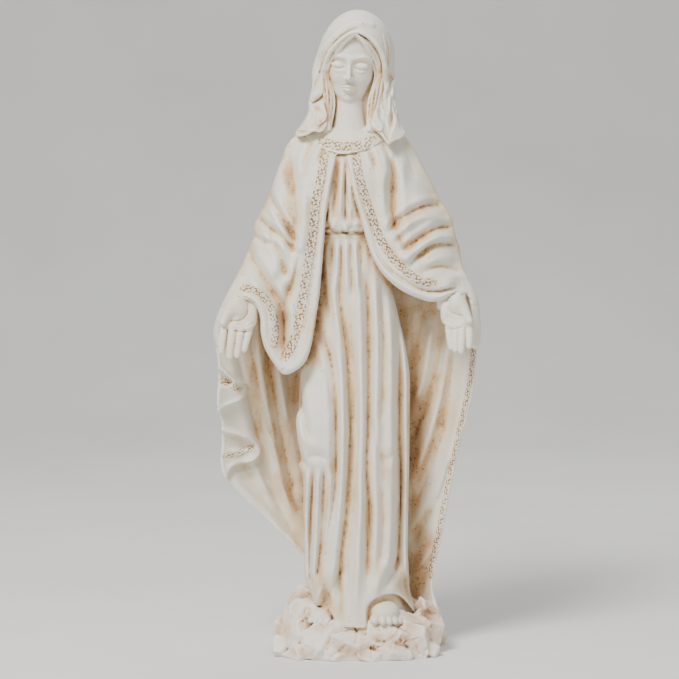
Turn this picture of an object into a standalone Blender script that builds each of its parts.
"""Hollow cast garden madonna statue, in metres, +Z up, front facing -Y.

The origin is the centre of the flat underside. "Right" and "left" are the figure's own, so
her right hand is at -X. The castings are hollow and clamped together by a tie rod that runs
from the base into the neck of the head casting.
"""

import math
import random

import bmesh
import bpy
from mathutils import Matrix, Vector

# ---- driving dimensions ----
GAP = 0.0003
WALL = 0.008
STRIP_THICKNESS = 0.002
SEAM_Y = 0.012
JOINT_Z = 0.038
CAVITY_TOP_Z = 0.582

BASE_CENTRE = Vector((0.012, -0.006, 0.0))
BASE_CAVITY = (0.060, 0.050)
PLATE_RADII = (0.072, 0.062)
PLATE_THICKNESS = 0.006
WEB_Z = 0.026

ROD_RADIUS = 0.004
ROD_HOLE_RADIUS = 0.0047
ROD_BOTTOM_Z = 0.0125
ROD_TOP_Z = 0.628
SPIGOT_RADIUS = 0.0165
SPIGOT_BOTTOM_Z = 0.588
INSERT_RADIUS = 0.007
INSERT_SPAN_Z = (0.598, 0.632)
DOWEL_RADIUS = 0.0018
DOWEL_LENGTH = 0.030
BUNG_CENTRE = Vector((0.012, 0.030, 0.0))
BUNG_RADIUS = 0.009
SCREW_ANGLES = (45, 135, 225, 315)
SCREW_RADII = (0.066, 0.056)
SCREW_RADIUS = 0.0017
SCREW_LENGTH = 0.014
SCREW_HEAD_RADIUS = 0.0036
SCREW_HEAD_SPAN_Z = (0.0006, 0.0030)

# Each gown section: z, centre x, half width, depth in front, depth behind.
GOWN = (
    (0.030, 0.016, 0.070, 0.072, 0.060),
    (0.095, 0.0115, 0.057, 0.062, 0.055),
    (0.157, 0.0085, 0.061, 0.060, 0.055),
    (0.231, 0.006, 0.066, 0.060, 0.055),
    (0.305, 0.005, 0.068, 0.058, 0.055),
    (0.360, 0.005, 0.064, 0.054, 0.052),
    (0.440, 0.002, 0.050, 0.048, 0.048),
    (0.511, -0.002, 0.042, 0.042, 0.044),
    (0.560, -0.001, 0.047, 0.047, 0.044),
    (0.600, 0.000, 0.048, 0.038, 0.040),
    (0.622, 0.000, 0.034, 0.028, 0.030),
)
# Each section of the mantle that hangs behind: z, left x, right x, edge y, inner y, back y.
MANTLE_BACK = (
    (0.030, -0.044, 0.096, 0.018, 0.046, 0.062),
    (0.077, -0.050, 0.106, 0.012, 0.054, 0.068),
    (0.104, -0.058, 0.113, 0.008, 0.057, 0.070),
    (0.151, -0.101, 0.119, 0.004, 0.060, 0.072),
    (0.189, -0.139, 0.126, 0.000, 0.060, 0.072),
    (0.231, -0.162, 0.133, -0.004, 0.058, 0.070),
    (0.305, -0.166, 0.152, -0.012, 0.056, 0.068),
    (0.355, -0.165, 0.158, -0.016, 0.054, 0.066),
    (0.396, -0.166, 0.160, -0.018, 0.052, 0.064),
    (0.440, -0.148, 0.150, -0.004, 0.046, 0.062),
    (0.490, -0.121, 0.129, 0.010, 0.032, 0.062),
    (0.560, -0.098, 0.102, 0.014, 0.028, 0.058),
    (0.606, -0.072, 0.074, 0.014, 0.024, 0.050),
)
MANTLE_EDGE = 0.012
MANTLE_HEM = 0.0065
# The mantle's wings belong to the back shell out to here: z, inner x.
RIGHT_WING = ((0.000, -0.064), (0.095, -0.062), (0.157, -0.063), (0.231, -0.066),
              (0.305, -0.067), (0.338, -0.070), (0.345, -0.090), (0.405, -0.128))
LEFT_WING = ((0.000, 0.092), (0.095, 0.077), (0.157, 0.077), (0.231, 0.078),
             (0.305, 0.078), (0.360, 0.074), (0.426, 0.062))

# Ridges of cloth on the gown, each a chain of (x, z, radius) on its surface.
GOWN_FOLDS = {
    "centre": ((-0.004, 0.470, 0.004), (0.006, 0.380, 0.006), (0.011, 0.250, 0.007),
               (0.007, 0.120, 0.007), (0.004, 0.046, 0.008)),
    "panel": ((0.036, 0.430, 0.005), (0.040, 0.340, 0.009), (0.040, 0.220, 0.010),
              (0.038, 0.100, 0.008)),
    "side": ((0.060, 0.400, 0.004), (0.067, 0.300, 0.005), (0.067, 0.180, 0.005),
             (0.068, 0.070, 0.006)),
    "shin": ((-0.010, 0.240, 0.005), (-0.026, 0.150, 0.006), (-0.040, 0.052, 0.007)),
    "waist_right": ((-0.020, 0.560, 0.003), (-0.018, 0.515, 0.004)),
    "waist_middle": ((-0.006, 0.565, 0.003), (-0.006, 0.514, 0.004)),
    "waist_left": ((0.006, 0.560, 0.003), (0.007, 0.514, 0.004)),
}

# Rounded solids are the hulls of balls, each (x, y, z, radius).
DRAPERY = {
    "right_upper_arm": ((-0.050, 0.002, 0.598, 0.028), (-0.074, 0.000, 0.546, 0.028),
                        (-0.095, -0.004, 0.494, 0.030)),
    "right_forearm": ((-0.095, -0.004, 0.494, 0.030), (-0.128, -0.042, 0.443, 0.019)),
    "right_drape": ((-0.048, -0.012, 0.596, 0.022), (-0.026, -0.042, 0.596, 0.010),
                    (-0.050, -0.056, 0.395, 0.009), (-0.080, -0.056, 0.356, 0.009),
                    (-0.106, -0.046, 0.405, 0.010), (-0.120, -0.040, 0.440, 0.016)),
    "left_upper_arm": ((0.051, 0.002, 0.598, 0.028), (0.080, 0.000, 0.548, 0.029),
                       (0.103, -0.004, 0.497, 0.030)),
    "left_forearm": ((0.103, -0.004, 0.497, 0.030), (0.129, -0.042, 0.447, 0.018)),
    "left_drape": ((0.048, -0.012, 0.596, 0.022), (0.012, -0.042, 0.596, 0.010),
                   (0.030, -0.054, 0.490, 0.009), (0.062, -0.058, 0.455, 0.010),
                   (0.104, -0.050, 0.444, 0.012), (0.100, -0.010, 0.500, 0.020)),
    "leg": ((-0.022, -0.020, 0.375, 0.036), (-0.026, -0.042, 0.245, 0.032),
            (-0.028, -0.034, 0.100, 0.028)),
    "shoulders": ((-0.040, 0.004, 0.596, 0.030), (0.040, 0.004, 0.596, 0.030),
                  (0.000, 0.008, 0.612, 0.022)),
}
# Borders of the mantle, each a chain of balls.
MANTLE_BORDERS = {
    "right_opening": ((-0.022, -0.044, 0.600, 0.007), (-0.036, -0.052, 0.520, 0.007),
                      (-0.050, -0.062, 0.430, 0.007), (-0.064, -0.064, 0.375, 0.007),
                      (-0.080, -0.062, 0.352, 0.007)),
    "right_hem": ((-0.080, -0.062, 0.352, 0.007), (-0.100, -0.056, 0.380, 0.006),
                  (-0.110, -0.052, 0.425, 0.006), (-0.138, -0.050, 0.436, 0.006)),
    "left_opening": ((0.006, -0.044, 0.600, 0.007), (0.018, -0.052, 0.540, 0.007),
                     (0.036, -0.060, 0.490, 0.007), (0.064, -0.064, 0.454, 0.007),
                     (0.100, -0.060, 0.438, 0.007), (0.138, -0.050, 0.440, 0.006)),
    "collar": ((-0.048, -0.014, 0.622, 0.008), (-0.026, -0.030, 0.616, 0.008),
               (0.000, -0.036, 0.612, 0.008), (0.026, -0.030, 0.618, 0.008),
               (0.046, -0.014, 0.624, 0.008)),
}

# The bare head, in a frame at the middle of the eye line, before the head is tilted.
HEAD_CENTRE = Vector((0.002, 0.002, 0.722))
HEAD_PITCH, HEAD_ROLL, HEAD_YAW = 14, 4, -4
BARE_HEAD = {
    "skull": ((0.000, 0.008, 0.014, 0.037), (0.000, 0.016, 0.012, 0.034)),
    "face": ((-0.010, -0.014, 0.014, 0.022), (0.010, -0.014, 0.014, 0.022),
             (-0.013, -0.013, -0.012, 0.018), (0.013, -0.013, -0.012, 0.018),
             (-0.005, -0.022, -0.036, 0.013), (0.005, -0.022, -0.036, 0.013)),
    "chin": ((0.000, -0.031, -0.043, 0.008), (0.000, -0.024, -0.036, 0.013)),
    "nose": ((0.000, -0.035, 0.004, 0.003), (0.000, -0.043, -0.015, 0.0038)),
    "nostrils": ((-0.0045, -0.037, -0.017, 0.0032), (0.0045, -0.037, -0.017, 0.0032),
                 (0.000, -0.042, -0.016, 0.0034)),
    "upper_lip": ((-0.008, -0.035, -0.0265, 0.0024), (0.008, -0.035, -0.0265, 0.0024),
                  (0.000, -0.0400, -0.0260, 0.0028)),
    "lower_lip": ((-0.006, -0.035, -0.0330, 0.0028), (0.006, -0.035, -0.0330, 0.0028),
                  (0.000, -0.0390, -0.0330, 0.0034)),
    "right_eyelid": ((-0.0145, -0.0285, 0.000, 0.0082),),
    "left_eyelid": ((0.0145, -0.0285, 0.000, 0.0082),),
}
EYE_SOCKETS = {
    "right": ((-0.012, -0.046, 0.000, 0.0115), (-0.019, -0.043, -0.001, 0.0100)),
    "left": ((0.012, -0.046, 0.000, 0.0115), (0.019, -0.043, -0.001, 0.0100)),
}
HEAD_CHAINS = {
    "brow": ((-0.023, -0.024, 0.008, 0.004), (-0.012, -0.033, 0.0105, 0.004),
             (0.000, -0.034, 0.008, 0.0035), (0.012, -0.033, 0.0105, 0.004),
             (0.023, -0.024, 0.008, 0.004)),
    "right_hair": ((-0.003, -0.027, 0.038, 0.008), (-0.018, -0.025, 0.028, 0.008),
                   (-0.029, -0.017, 0.006, 0.007), (-0.031, -0.009, -0.022, 0.007),
                   (-0.030, -0.004, -0.052, 0.007)),
    "left_hair": ((0.003, -0.027, 0.038, 0.008), (0.018, -0.025, 0.028, 0.008),
                  (0.029, -0.017, 0.006, 0.007), (0.031, -0.009, -0.022, 0.007),
                  (0.030, -0.004, -0.052, 0.007)),
}
HOOD = ((0.000, 0.010, 0.012, 0.046), (0.000, -0.006, 0.018, 0.037),
        (0.000, 0.012, -0.030, 0.046))
HOOD_OPENING = ((0.000, -0.040, 0.012, 0.030), (0.000, -0.040, -0.030, 0.030),
                (0.000, -0.052, -0.080, 0.034))
NECK = ((0.001, 0.004, 0.680, 0.017), (0.000, 0.002, 0.632, 0.018), (0.000, 0.004, 0.604, 0.024))
VEIL = {
    "back": ((0.003, 0.018, 0.700, 0.044), (0.001, 0.024, 0.640, 0.044),
             (0.000, 0.028, 0.604, 0.036)),
    "right_lappet": ((-0.032, 0.004, 0.748, 0.012), (-0.036, 0.000, 0.700, 0.011),
                     (-0.051, -0.008, 0.634, 0.012), (-0.036, 0.014, 0.640, 0.018)),
    "left_lappet": ((0.038, 0.004, 0.748, 0.012), (0.040, 0.000, 0.700, 0.011),
                    (0.051, -0.008, 0.634, 0.012), (0.038, 0.014, 0.640, 0.018)),
}
VEIL_FOLDS = {
    "right_edge": ((-0.031, -0.014, 0.730, 0.003), (-0.034, -0.012, 0.690, 0.005),
                   (-0.043, -0.016, 0.636, 0.006)),
    "right_outer": ((-0.040, -0.002, 0.716, 0.003), (-0.045, -0.006, 0.680, 0.005),
                    (-0.056, -0.006, 0.638, 0.006)),
    "left_edge": ((0.036, -0.014, 0.730, 0.003), (0.038, -0.012, 0.690, 0.005),
                  (0.043, -0.016, 0.636, 0.006)),
    "left_outer": ((0.044, -0.002, 0.716, 0.003), (0.049, -0.006, 0.680, 0.005),
                   (0.056, -0.006, 0.642, 0.006)),
}
# A hand: palm, thumb and four fingers, for the right hand at -X.
RIGHT_HAND = {
    "palm": ((-0.121, -0.052, 0.434, 0.008), (-0.134, -0.052, 0.434, 0.008),
             (-0.118, -0.066, 0.397, 0.0065), (-0.147, -0.066, 0.401, 0.0065)),
    "thumb": ((-0.140, -0.058, 0.424, 0.0075), (-0.149, -0.068, 0.416, 0.006),
              (-0.154, -0.074, 0.405, 0.0048)),
    "index": ((-0.146, -0.067, 0.401, 0.0052), (-0.152, -0.074, 0.370, 0.0042)),
    "middle": ((-0.137, -0.067, 0.399, 0.0054), (-0.141, -0.077, 0.363, 0.0044)),
    "ring": ((-0.128, -0.067, 0.398, 0.0052), (-0.130, -0.076, 0.365, 0.0042)),
    "little": ((-0.119, -0.066, 0.397, 0.0048), (-0.119, -0.073, 0.371, 0.0040)),
}
LEFT_HAND = {
    "palm": ((0.123, -0.052, 0.438, 0.008), (0.136, -0.052, 0.438, 0.008),
             (0.119, -0.066, 0.400, 0.0065), (0.143, -0.066, 0.402, 0.0065)),
    "thumb": ((0.139, -0.058, 0.430, 0.0072), (0.143, -0.070, 0.418, 0.006),
              (0.145, -0.076, 0.408, 0.0048)),
    "index": ((0.143, -0.067, 0.403, 0.0050), (0.142, -0.075, 0.378, 0.0042)),
    "middle": ((0.135, -0.067, 0.400, 0.0052), (0.134, -0.077, 0.370, 0.0044)),
    "ring": ((0.127, -0.067, 0.399, 0.0050), (0.126, -0.077, 0.372, 0.0042)),
    "little": ((0.119, -0.066, 0.399, 0.0046), (0.119, -0.074, 0.378, 0.0040)),
}
WRIST_DOWELS = {
    "right": (Vector((-0.128, -0.047, 0.438)), Vector((-0.02, -0.45, -0.89))),
    "left": (Vector((0.129, -0.047, 0.442)), Vector((0.02, -0.45, -0.89))),
}
# Each base rock: centre x, y, z, then half sizes.
ROCKS = (
    (0.012, -0.006, 0.018, 0.084, 0.074, 0.030),
    (-0.056, -0.030, 0.030, 0.034, 0.040, 0.044),
    (-0.050, 0.018, 0.026, 0.034, 0.034, 0.036),
    (0.020, -0.062, 0.014, 0.046, 0.026, 0.024),
    (0.082, -0.030, 0.018, 0.030, 0.036, 0.030),
    (0.078, 0.026, 0.018, 0.032, 0.034, 0.030),
    (0.012, 0.046, 0.018, 0.056, 0.028, 0.028),
)
ROCK_POINTS = 26
ROCK_SEED = 5


# ---- scene and small tools ----
def start_scene():
    """Empty the file and make one collection for the statue and one for its cutters."""
    for obj in list(bpy.data.objects):
        bpy.data.objects.remove(obj)
    parts = bpy.data.collections.new("madonna_statue")
    cutters = bpy.data.collections.new("cutters")
    bpy.context.scene.collection.children.link(parts)
    bpy.context.scene.collection.children.link(cutters)
    return parts, cutters


PARTS, CUTTERS = start_scene()


def make_material(name, colour, roughness, metallic=0.0):
    material = bpy.data.materials.new(name)
    material.use_nodes = True
    shader = material.node_tree.nodes["Principled BSDF"]
    shader.inputs["Base Color"].default_value = (*colour, 1.0)
    shader.inputs["Roughness"].default_value = roughness
    shader.inputs["Metallic"].default_value = metallic
    return material


CAST_STONE = make_material("cast_stone", (0.80, 0.76, 0.67), 0.7)
ZINC_STEEL = make_material("zinc_steel", (0.62, 0.63, 0.65), 0.35, 1.0)
RUBBER = make_material("bung_rubber", (0.03, 0.03, 0.03), 0.8)
MORTAR = make_material("ballast_mortar", (0.45, 0.43, 0.40), 0.95)
GLASS_TAPE = make_material("seam_laminate", (0.70, 0.72, 0.62), 0.5)
PLATE_PLASTIC = make_material("plate_plastic", (0.30, 0.29, 0.27), 0.6)


def helper(name, mesh):
    """A cutter or a raw shape: in the scene for modifiers to read, but not a part."""
    obj = bpy.data.objects.new(name, mesh)
    CUTTERS.objects.link(obj)
    obj.hide_render = True
    obj.display_type = "WIRE"
    return obj


def from_bmesh(name, bm):
    bmesh.ops.recalc_face_normals(bm, faces=bm.faces)
    mesh = bpy.data.meshes.new(name)
    bm.to_mesh(mesh)
    bm.free()
    return helper(name, mesh)


def hull(name, points):
    """The convex hull of a cloud of points."""
    bm = bmesh.new()
    for point in points:
        bm.verts.new(point)
    bmesh.ops.convex_hull(bm, input=bm.verts)
    loose = [v for v in bm.verts if not v.link_faces]
    bmesh.ops.delete(bm, geom=loose, context="VERTS")
    return from_bmesh(name, bm)


def ball_points(x, y, z, radius):
    bm = bmesh.new()
    bmesh.ops.create_uvsphere(
        bm, u_segments=16, v_segments=10, radius=radius, matrix=Matrix.Translation((x, y, z)))
    points = [v.co.copy() for v in bm.verts]
    bm.free()
    return points


def rounded(name, balls):
    return hull(name, [p for ball in balls for p in ball_points(*ball)])


def chain(name, balls):
    """A bent tube: one rounded solid for each pair of neighbouring balls."""
    return [rounded(f"{name}_{i}", pair) for i, pair in enumerate(zip(balls, balls[1:]))]


def loft(name, rings):
    """A closed skin over rings with the same number of points, low ring first."""
    bm = bmesh.new()
    rows = [[bm.verts.new(p) for p in ring] for ring in rings]
    for low, high in zip(rows, rows[1:]):
        for i in range(len(low)):
            j = (i + 1) % len(low)
            bm.faces.new((low[i], low[j], high[j], high[i]))
    bm.faces.new(rows[0])
    bm.faces.new(rows[-1])
    return from_bmesh(name, bm)


def cylinder(name, radius, start, end, segments=24, radius_end=None):
    """A cylinder or cone from one point to another."""
    start, end = Vector(start), Vector(end)
    turn = (end - start).to_track_quat("Z", "Y").to_matrix().to_4x4()
    bm = bmesh.new()
    bmesh.ops.create_cone(
        bm, cap_ends=True, segments=segments, radius1=radius,
        radius2=radius if radius_end is None else radius_end, depth=(end - start).length,
        matrix=Matrix.Translation((start + end) / 2) @ turn)
    return from_bmesh(name, bm)


def oval_disc(name, radii, low_z, high_z, segments=48):
    """An elliptical slab about the base's centre."""
    rings = []
    for z in (low_z, high_z):
        angles = [2 * math.pi * i / segments for i in range(segments)]
        rings.append([
            (BASE_CENTRE.x + radii[0] * math.cos(a), BASE_CENTRE.y + radii[1] * math.sin(a), z)
            for a in angles])
    return loft(name, rings)


def block(name, low, high):
    low, high = Vector(low), Vector(high)
    bm = bmesh.new()
    bmesh.ops.create_cube(bm, size=1.0)
    bmesh.ops.scale(bm, vec=high - low, verts=bm.verts)
    bmesh.ops.translate(bm, vec=(low + high) / 2, verts=bm.verts)
    return from_bmesh(name, bm)


def settle(obj):
    """Apply an object's modifiers to its mesh."""
    graph = bpy.context.evaluated_depsgraph_get()
    mesh = bpy.data.meshes.new_from_object(obj.evaluated_get(graph))
    obj.modifiers.clear()
    obj.data = mesh
    return obj


def combine(obj, other, operation, solver="EXACT"):
    """Boolean obj with other, in place."""
    change = obj.modifiers.new(operation.lower(), "BOOLEAN")
    change.operation = operation
    change.solver = solver
    change.object = other
    return settle(obj)


def copy_of(obj, name):
    return helper(name, obj.data.copy())


def fuse(name, shapes, voxel, triangles):
    """Shapes melted into one smooth closed skin of about so many triangles."""
    bm = bmesh.new()
    for shape in shapes:
        bm.from_mesh(shape.data)
    obj = from_bmesh(name, bm)
    remesh = obj.modifiers.new("melt", "REMESH")
    remesh.mode = "VOXEL"
    remesh.voxel_size = voxel
    smooth = obj.modifiers.new("soften", "SMOOTH")
    smooth.factor = 0.5
    smooth.iterations = 3
    settle(obj)
    found = sum(len(p.vertices) - 2 for p in obj.data.polygons)
    thin = obj.modifiers.new("thin", "DECIMATE")
    thin.ratio = min(1.0, triangles / found)
    thin.use_collapse_triangulate = True
    return settle(obj)


def inflated(obj, name, amount):
    """A copy whose faces all stand out by an amount."""
    swollen = copy_of(obj, name)
    push = swollen.modifiers.new("push", "DISPLACE")
    push.strength = amount
    push.mid_level = 0.0
    return settle(swollen)


def part(obj, name, material, smooth_angle=40):
    """Turn a finished helper into one of the statue's parts, its origin at its middle."""
    CUTTERS.objects.unlink(obj)
    PARTS.objects.link(obj)
    obj.name = name
    obj.data.name = name
    obj.hide_render = False
    obj.display_type = "TEXTURED"
    obj.data.materials.clear()
    obj.data.materials.append(material)
    obj.data.shade_smooth()
    obj.data.set_sharp_from_angle(angle=math.radians(smooth_angle))
    corners = [Vector(c) for c in obj.bound_box]
    middle = (corners[0] + corners[6]) / 2
    obj.data.transform(Matrix.Translation(-middle))
    obj.location = middle
    return obj


# ---- the figure's outer form and its cavity ----
def gown_section(z):
    """The gown's centre x, half width, front depth and back depth at a height."""
    below = max((s for s in GOWN if s[0] <= z), default=GOWN[0])
    above = min((s for s in GOWN if s[0] > z), default=GOWN[-1])
    share = (z - below[0]) / (above[0] - below[0]) if above[0] > below[0] else 0.0
    return [a + (b - a) * share for a, b in zip(below[1:], above[1:])]


def gown_rings(inset, low_z, high_z, segments=32):
    """Rings of the gown, drawn in by an inset, at its sections between two heights."""
    levels = [low_z] + [s[0] for s in GOWN if low_z < s[0] < high_z] + [high_z]
    rings = []
    for z in levels:
        x, half, front, back = gown_section(z)
        ring = []
        for i in range(segments):
            angle = 2 * math.pi * i / segments
            depth = back if math.sin(angle) > 0 else front
            ring.append((x + (half - inset) * math.cos(angle),
                         (depth - inset) * math.sin(angle), z))
        rings.append(ring)
    return rings


def mantle_rings(points=18):
    """The half-moon sections of the mantle behind the gown."""
    rings = []
    for z, left, right, edge_y, inner_y, back_y in MANTLE_BACK:
        centre, half = (left + right) / 2, (right - left) / 2
        ring = []
        for i in range(points + 1):
            angle = math.pi * i / points
            ring.append((centre + half * math.cos(angle),
                         edge_y + (back_y - edge_y) * math.sin(angle) ** 2, z))
        for i in range(points + 1):
            angle = math.pi * (1 - i / points)
            ring.append((centre + half * math.cos(angle),
                         edge_y - MANTLE_EDGE + (inner_y - edge_y) * math.sin(angle) ** 2, z))
        rings.append(ring)
    return rings


def mantle_hem(side):
    """The rolled hem along one side edge of the mantle."""
    balls = []
    for z, left, right, edge_y, _, _ in MANTLE_BACK[1:-2]:
        x = left + MANTLE_HEM if side == "right" else right - MANTLE_HEM
        balls.append((x, edge_y - MANTLE_EDGE / 2, z, MANTLE_HEM))
    return chain(side + "_hem", balls)


def on_gown(x, z, radius):
    """A ball half sunk in the front of the gown."""
    centre, half, front, _ = gown_section(z)
    share = min(0.98, abs(x - centre) / half)
    return x, -front * math.sqrt(1 - share * share), z, radius


def figure_form():
    """Gown, mantle and sleeves melted into the outer form of the body castings."""
    shapes = [loft("gown", gown_rings(0.0, GOWN[0][0], GOWN[-1][0])),
              loft("mantle_back", mantle_rings())]
    shapes += [rounded(name, balls) for name, balls in DRAPERY.items()]
    shapes += mantle_hem("right") + mantle_hem("left")
    for name, balls in MANTLE_BORDERS.items():
        shapes += chain(name, balls)
    for name, places in GOWN_FOLDS.items():
        shapes += chain(name, [on_gown(*place) for place in places])
    form = fuse("figure_form", shapes, voxel=0.0035, triangles=6400)
    floor = block("floor_cut", (-0.3, -0.3, -0.1), (0.3, 0.3, JOINT_Z + GAP))
    return combine(form, floor, "DIFFERENCE")


def cavity(inset, name, low_z=JOINT_Z - 0.01, high_z=CAVITY_TOP_Z):
    return loft(name, gown_rings(WALL + inset, low_z, high_z))


def wing_region(name, rows, outer_x, slack):
    """The space beside the gown and under the sleeve that holds one wing of the mantle."""
    toward_gown = slack if outer_x < 0 else -slack
    rings = []
    for z, inner_x in rows:
        top = z + (slack if z == rows[-1][0] else 0)
        x = inner_x + toward_gown
        rings.append(((x, -0.2, top), (outer_x, -0.2, top), (outer_x, 0.2, top), (x, 0.2, top)))
    return loft(name, rings)


def back_region(name, slack):
    """All that belongs to the back shell, grown by a slack."""
    region = block(name, (-0.3, SEAM_Y + GAP / 2 - slack, -0.1), (0.3, 0.3, 0.9))
    combine(region, wing_region(name + "_right", RIGHT_WING, -0.25, slack), "UNION")
    return combine(region, wing_region(name + "_left", LEFT_WING, 0.25, slack), "UNION")


def make_body_shells(form):
    """The hollow figure, parted into a front and a back shell."""
    whole = copy_of(form, "whole_figure")
    combine(whole, cavity(0.0, "cavity"), "DIFFERENCE")
    socket = cylinder("neck_socket", SPIGOT_RADIUS + GAP,
                      (0, 0, CAVITY_TOP_Z - 0.02), (0, 0, 0.68), 32)
    combine(whole, socket, "DIFFERENCE")
    for side, (point, direction) in WRIST_DOWELS.items():
        reach = direction.normalized() * (DOWEL_LENGTH / 2 + GAP)
        combine(whole, cylinder(side + "_sleeve_bore", DOWEL_RADIUS + GAP,
                                point - reach, point + reach * 2, 12), "DIFFERENCE")
    front = copy_of(whole, "front")
    combine(front, back_region("behind_seam", GAP), "DIFFERENCE")
    back = copy_of(whole, "back")
    combine(back, back_region("back_space", 0.0), "INTERSECT")
    part(front, "body_front_shell", CAST_STONE)
    part(back, "body_back_shell", CAST_STONE)


def make_seam_strips():
    """Glass-fibre laminate bonded inside the shells over each side seam."""
    for side, low_x, high_x in (("right", -0.2, -0.012), ("left", 0.012, 0.2)):
        strip = cavity(2 * GAP, side + "_strip", 0.060, CAVITY_TOP_Z - 0.015)
        combine(strip, cavity(2 * GAP + STRIP_THICKNESS, side + "_strip_inner", 0.050, CAVITY_TOP_Z),
                "DIFFERENCE")
        combine(strip, block(side + "_strip_band", (low_x, SEAM_Y - 0.013, 0.05),
                             (high_x, SEAM_Y + 0.013, 0.6)), "INTERSECT")
        part(strip, side + "_seam_strip", GLASS_TAPE)


# ---- the head, with its veil and neck ----
def tilted(balls):
    """Balls of the upright head, moved to its place and tilt on the figure."""
    turn = (Matrix.Rotation(math.radians(HEAD_YAW), 3, "Z")
            @ Matrix.Rotation(math.radians(HEAD_ROLL), 3, "Y")
            @ Matrix.Rotation(math.radians(HEAD_PITCH), 3, "X"))
    return [(*(HEAD_CENTRE + turn @ Vector(ball[:3])), ball[3]) for ball in balls]


def make_veil():
    """The hood and lappets, open in front of the face."""
    shapes = [rounded("hood", tilted(HOOD))]
    shapes += [rounded("veil_" + name, balls) for name, balls in VEIL.items()]
    veil = fuse("veil", shapes, voxel=0.003, triangles=6000)
    return combine(veil, rounded("hood_opening", tilted(HOOD_OPENING)), "DIFFERENCE")


def make_head(form):
    """Head, hair, neck and veil in one casting, with the spigot that enters the shells."""
    bare = {name: rounded("bare_" + name, tilted(balls)) for name, balls in BARE_HEAD.items()}
    for side, balls in EYE_SOCKETS.items():
        combine(bare["face"], rounded(side + "_socket", tilted(balls)), "DIFFERENCE")
    shapes = [make_veil(), rounded("neck", NECK), *bare.values()]
    for name, balls in HEAD_CHAINS.items():
        shapes += chain(name, tilted(balls))
    for name, balls in VEIL_FOLDS.items():
        shapes += chain("veil_" + name, balls)
    head = fuse("head", shapes, voxel=0.0018, triangles=4200)
    combine(head, inflated(form, "head_seat", GAP), "DIFFERENCE")
    lower = block("head_lower", (-0.1, -0.1, 0.5), (0.1, 0.1, 0.585))
    combine(head, lower, "DIFFERENCE")
    spigot = cylinder("spigot", SPIGOT_RADIUS, (0, 0, SPIGOT_BOTTOM_Z), (0, 0, 0.672), 32)
    combine(head, spigot, "UNION")
    bore = cylinder("insert_bore", INSERT_RADIUS + GAP, (0, 0, 0.55), (0, 0, 0.68))
    hollow = rounded("head_hollow", ((0.003, 0.004, 0.716, 0.028), (0.001, 0.002, 0.690, 0.016)))
    combine(head, hollow, "DIFFERENCE")
    combine(head, bore, "DIFFERENCE")
    part(head, "head_and_veil", CAST_STONE)


# ---- the hands ----
def make_hand(side, shape, form):
    """A cast hand, butted to the sleeve and held by a steel dowel."""
    shapes = [rounded(side + "_" + name, balls) for name, balls in shape.items()]
    hand = fuse(side + "_hand_raw", shapes, voxel=0.0018, triangles=900)
    combine(hand, inflated(form, side + "_cuff", GAP), "DIFFERENCE")
    point, direction = WRIST_DOWELS[side]
    reach = direction.normalized() * DOWEL_LENGTH / 2
    bore = reach.normalized() * (DOWEL_LENGTH / 2 + GAP)
    combine(hand, cylinder(side + "_hand_bore", DOWEL_RADIUS + GAP, point - bore, point + bore, 12),
            "DIFFERENCE")
    part(hand, side + "_hand", CAST_STONE)
    dowel = cylinder(side + "_dowel", DOWEL_RADIUS, point - reach, point + reach, 12)
    part(dowel, side + "_wrist_dowel", ZINC_STEEL)


# ---- the base ----
def rock(index, centre_x, centre_y, centre_z, half_x, half_y, half_z, dice):
    """An angular boulder: the hull of points scattered over an ellipsoid."""
    points = []
    for k in range(ROCK_POINTS):
        height = 1 - 2 * (k + 0.5) / ROCK_POINTS
        turn = math.pi * (3 - math.sqrt(5)) * k + dice.uniform(-0.4, 0.4)
        reach = dice.uniform(0.86, 1.0)
        around = math.sqrt(1 - height * height)
        points.append((centre_x + half_x * reach * around * math.cos(turn),
                       centre_y + half_y * reach * around * math.sin(turn),
                       centre_z + half_z * reach * height))
    return hull(f"rock_{index}", points)


def make_base(form):
    """The rocky base casting, with a web that the tie rod clamps and a boss for the shells."""
    dice = random.Random(ROCK_SEED)
    base = oval_disc("base_core", (0.080, 0.070), 0.0, JOINT_Z - 0.002, 40)
    for index, sizes in enumerate(ROCKS):
        combine(base, rock(index, *sizes, dice), "UNION")
    seat = loft("joint_seat", gown_rings(-0.004, JOINT_Z, 0.12))
    combine(base, seat, "DIFFERENCE")
    combine(base, inflated(form, "figure_seat", GAP), "DIFFERENCE", solver="MANIFOLD")
    boss = cavity(0.0008, "boss", JOINT_Z - 0.004, JOINT_Z + 0.014)
    combine(base, boss, "UNION")
    combine(base, block("ground", (-0.3, -0.3, -0.1), (0.3, 0.3, 0.0)), "DIFFERENCE")
    combine(base, oval_disc("base_hollow", BASE_CAVITY, -0.01, WEB_Z), "DIFFERENCE")
    combine(base, oval_disc("plate_rebate", (PLATE_RADII[0] + GAP, PLATE_RADII[1] + GAP), -0.01,
                            PLATE_THICKNESS + GAP), "DIFFERENCE")
    combine(base, cylinder("rod_hole", ROD_HOLE_RADIUS, (0, 0, 0), (0, 0, 0.1)), "DIFFERENCE")
    for angle in SCREW_ANGLES:
        x, y = screw_place(angle)
        combine(base, cylinder("pilot", SCREW_RADIUS + GAP, (x, y, -0.01),
                               (x, y, SCREW_LENGTH + 2 * GAP), 12), "DIFFERENCE")
    part(base, "rock_base", CAST_STONE, 20)


def screw_place(angle):
    a = math.radians(angle)
    return BASE_CENTRE.x + SCREW_RADII[0] * math.cos(a), BASE_CENTRE.y + SCREW_RADII[1] * math.sin(a)


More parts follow.
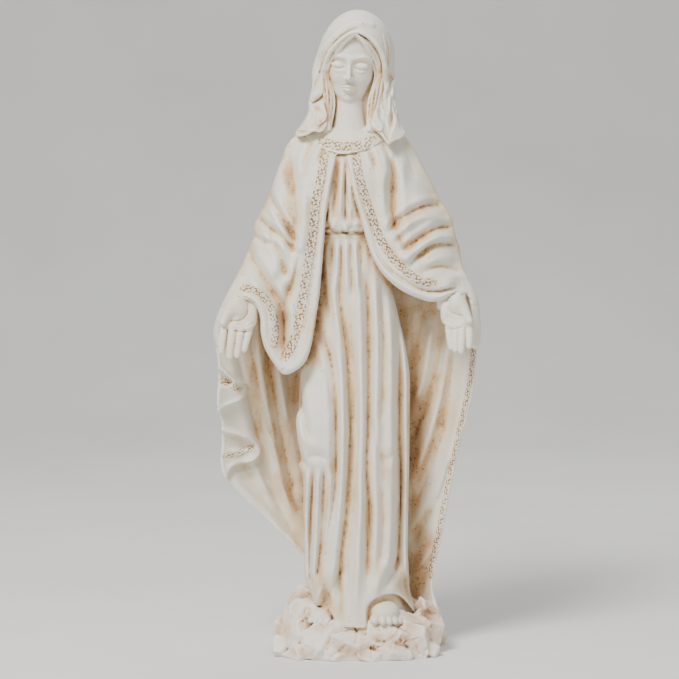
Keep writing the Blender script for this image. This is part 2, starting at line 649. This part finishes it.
def make_bottom_plate():
    plate = oval_disc("plate", PLATE_RADII, 0.0, PLATE_THICKNESS)
    low, high = (BUNG_CENTRE.x, BUNG_CENTRE.y, -0.01), (BUNG_CENTRE.x, BUNG_CENTRE.y, 0.02)
    combine(plate, cylinder("bung_hole", BUNG_RADIUS + GAP, low, high), "DIFFERENCE")
    for angle in SCREW_ANGLES:
        x, y = screw_place(angle)
        combine(plate, cylinder("clearance", SCREW_RADIUS + GAP, (x, y, -0.01), (x, y, 0.02), 12),
                "DIFFERENCE")
        combine(plate, cylinder("head_pocket", SCREW_HEAD_RADIUS + GAP, (x, y, -0.01),
                                (x, y, SCREW_HEAD_SPAN_Z[1]), 16), "DIFFERENCE")
    part(plate, "bottom_plate", PLATE_PLASTIC)


def make_bottom_screws():
    for number, angle in enumerate(SCREW_ANGLES, 1):
        x, y = screw_place(angle)
        low_z, high_z = SCREW_HEAD_SPAN_Z
        screw = cylinder("shank", SCREW_RADIUS, (x, y, low_z + GAP), (x, y, SCREW_LENGTH), 12)
        head = cylinder("screw_head", SCREW_HEAD_RADIUS, (x, y, low_z), (x, y, high_z - GAP), 16)
        combine(screw, head, "UNION")
        slot = block("slot", (x - 0.004, y - 0.0004, 0.0), (x + 0.004, y + 0.0004, 0.0013))
        combine(screw, slot, "DIFFERENCE")
        part(screw, f"bottom_plate_screw_{number}", ZINC_STEEL)


def make_bung():
    """A push-in rubber bung in the plate's filling hole, its flange inside the plate."""
    x, y = BUNG_CENTRE.x, BUNG_CENTRE.y
    bung = cylinder("bung", BUNG_RADIUS, (x, y, 0.0008), (x, y, 0.0070), 24)
    lip = cylinder("bung_lip", BUNG_RADIUS + 0.0012, (x, y, PLATE_THICKNESS + GAP), (x, y, 0.0078))
    combine(bung, lip, "UNION")
    part(bung, "filler_bung", RUBBER)


def make_ballast():
    """A ring of mortar that weights the base, clear of the nut and the bung."""
    ring = oval_disc("ballast", (BASE_CAVITY[0] - GAP, BASE_CAVITY[1] - GAP), 0.0085, WEB_Z - GAP)
    combine(ring, cylinder("nut_well", 0.0155, (0, 0, 0), (0, 0, 0.05)), "DIFFERENCE")
    part(ring, "ballast_ring", MORTAR)


def make_tie_rod():
    """Threaded rod, washer and nut under the web, and the insert moulded into the neck."""
    rod = cylinder("rod", ROD_RADIUS, (0, 0, ROD_BOTTOM_Z), (0, 0, ROD_TOP_Z), 20)
    part(rod, "tie_rod", ZINC_STEEL)
    low, high = INSERT_SPAN_Z
    insert = cylinder("insert", INSERT_RADIUS, (0, 0, low), (0, 0, high), 24)
    combine(insert, cylinder("insert_thread", ROD_RADIUS + GAP, (0, 0, 0), (0, 0, 0.7), 20),
            "DIFFERENCE")
    part(insert, "neck_insert", ZINC_STEEL)
    washer_top = WEB_Z - GAP
    washer_low = washer_top - 0.0016
    for name, radius, low, high, sides in (
            ("tie_rod_washer", 0.012, washer_low, washer_top, 24),
            ("tie_rod_nut", 0.0075, washer_low - GAP - 0.0065, washer_low - GAP, 6)):
        ring = cylinder(name + "_blank", radius, (0, 0, low), (0, 0, high), sides)
        combine(ring, cylinder(name + "_bore", ROD_RADIUS + GAP, (0, 0, 0), (0, 0, 0.1), 20),
                "DIFFERENCE")
        part(ring, name, ZINC_STEEL)


def main():
    form = figure_form()
    make_body_shells(form)
    make_seam_strips()
    make_head(form)
    make_hand("right", RIGHT_HAND, form)
    make_hand("left", LEFT_HAND, form)
    make_base(form)
    make_bottom_plate()
    make_bottom_screws()
    make_bung()
    make_ballast()
    make_tie_rod()
    for obj in list(CUTTERS.objects):
        bpy.data.objects.remove(obj)


main()
